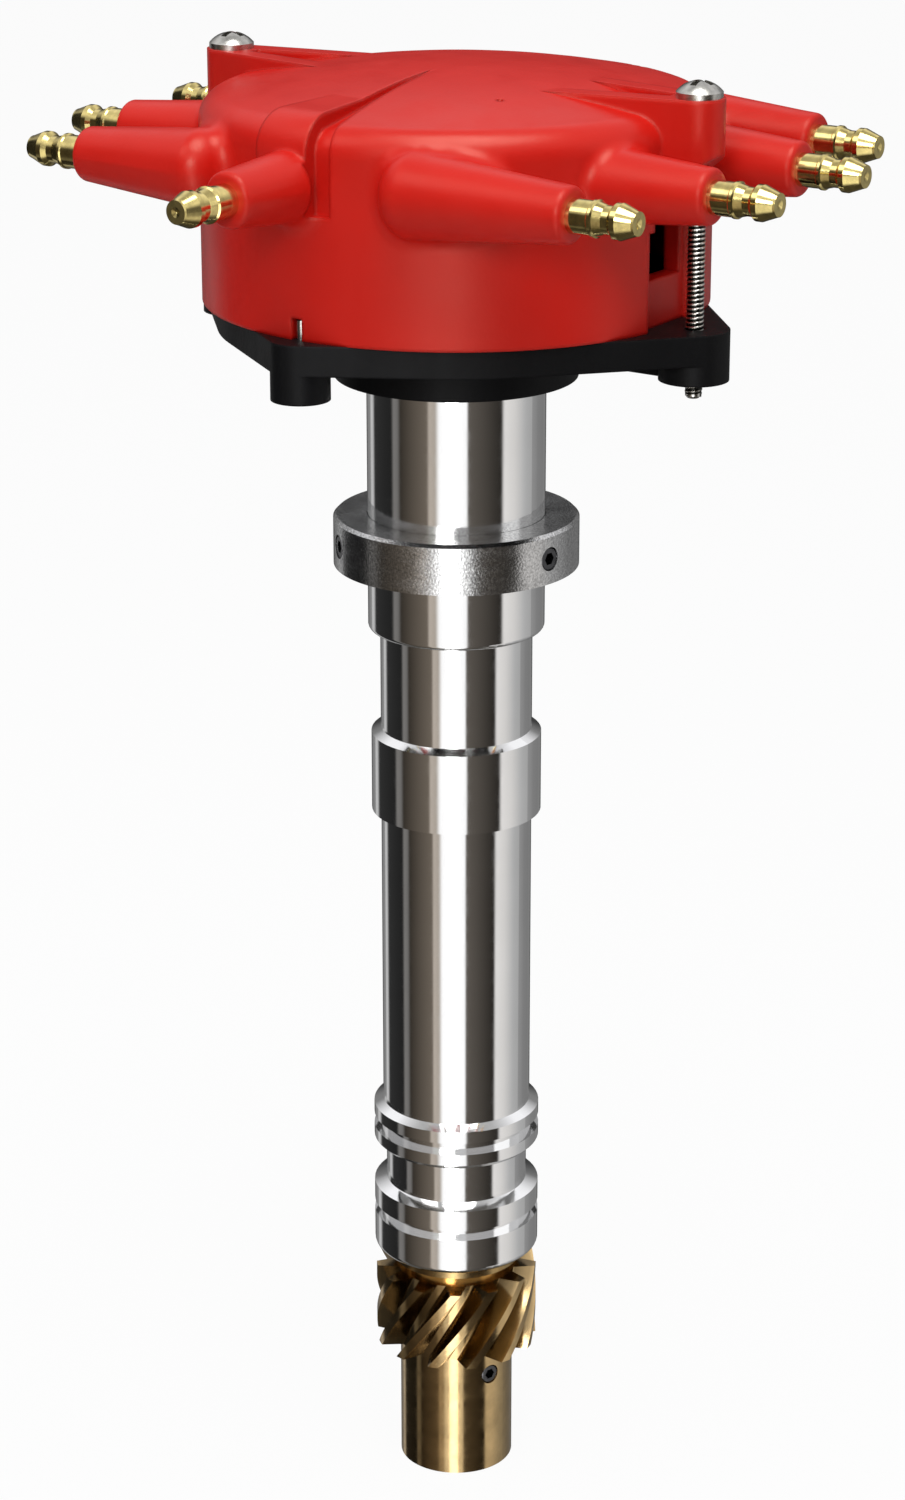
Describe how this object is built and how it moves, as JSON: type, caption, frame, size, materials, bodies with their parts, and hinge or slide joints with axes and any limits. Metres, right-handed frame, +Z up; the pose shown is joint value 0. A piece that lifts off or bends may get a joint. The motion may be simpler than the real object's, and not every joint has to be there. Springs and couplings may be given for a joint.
{
  "type": "ignition distributor",
  "caption": "Engine ignition distributor: moulded cap with side plug towers on a turned housing with a slip collar, driven through its shaft by a helical gear.",
  "frame": {"origin": "centre of the slip collar's underside, on the shaft's axis", "axes": "+Z up the shaft to the cap; +X along the two cap screws, the plug towers lie along X; -Y on the coil tower's side"},
  "size_m": [0.15, 0.1256, 0.2817],
  "materials": {
    "machined_aluminium": "turned, bright",
    "blasted_aluminium": "satin, blasted",
    "red_moulding": "moulded, satin",
    "black_moulding": "moulded, fine texture",
    "terminal_brass": "polished",
    "gear_bronze": "machined",
    "sintered_bronze": "sintered, oiled",
    "stainless_steel": "bright",
    "shaft_steel": "ground",
    "bearing_steel": "polished",
    "spring_steel": "oiled",
    "black_oxide_steel": "black oxide",
    "carbon": "pressed carbon"
  },
  "bodies": {
    "housing": {"housing": "machined_aluminium", "lower_bush": "sintered_bronze", "bearing_outer_race": "bearing_steel", "bearing_lower_shield": "bearing_steel", "bearing_upper_shield": "bearing_steel", "bearing_circlip": "spring_steel", "base": "black_moulding", "ear_inserts": "terminal_brass", "cap_screws": "stainless_steel", "base_screws": "stainless_steel", "locating_pin": "stainless_steel", "cap": "red_moulding", "coil_terminal": "terminal_brass", "coil_strip": "terminal_brass", "brush_spring": "spring_steel", "plug_terminal_1": "terminal_brass", "cap_electrode_1": "terminal_brass", "plug_terminal_2": "terminal_brass", "cap_electrode_2": "terminal_brass", "plug_terminal_3": "terminal_brass", "cap_electrode_3": "terminal_brass", "plug_terminal_4": "terminal_brass", "cap_electrode_4": "terminal_brass", "plug_terminal_5": "terminal_brass", "cap_electrode_5": "terminal_brass", "plug_terminal_6": "terminal_brass", "cap_electrode_6": "terminal_brass", "plug_terminal_7": "terminal_brass", "cap_electrode_7": "terminal_brass", "plug_terminal_8": "terminal_brass", "cap_electrode_8": "terminal_brass"},
    "drive_shaft": {"shaft": "shaft_steel", "shaft_circlip": "spring_steel", "bearing_inner_race": "bearing_steel", "thrust_washer": "terminal_brass", "drive_gear": "gear_bronze", "gear_set_screw": "black_oxide_steel", "rotor_hub": "machined_aluminium", "rotor": "red_moulding", "rotor_blade": "terminal_brass", "rotor_screws": "stainless_steel"},
    "ball_set": {"bearing_cage": "sintered_bronze", "bearing_balls": "bearing_steel"},
    "collar": {"slip_collar": "blasted_aluminium", "collar_set_screws": "black_oxide_steel"},
    "brush": {"carbon_brush": "carbon"}
  },
  "joints": [
    {"name": "shaft_spin", "type": "hinge", "parent": "housing", "child": "drive_shaft", "pos_m": [0, 0, 0], "axis": [0, 0, 1], "continuous": true},
    {"name": "ball_set_spin", "type": "hinge", "parent": "housing", "child": "ball_set", "pos_m": [0, 0, 0], "axis": [0, 0, 1], "continuous": true},
    {"name": "collar_slide", "type": "slide", "parent": "housing", "child": "collar", "axis": [0, 0, 1], "range_m": [-0.0117, 0.026]},
    {"name": "brush_slide", "type": "slide", "parent": "housing", "child": "brush", "axis": [0, 0, 1], "range_m": [0, 0.0012], "stiffness_N_per_m": 60, "springref_m": -0.004, "deforming": ["brush_spring"]}
  ],
  "couplings": [
    {"joint": "ball_set_spin", "follows": "shaft_spin", "ratio": 0.39268}
  ]
}
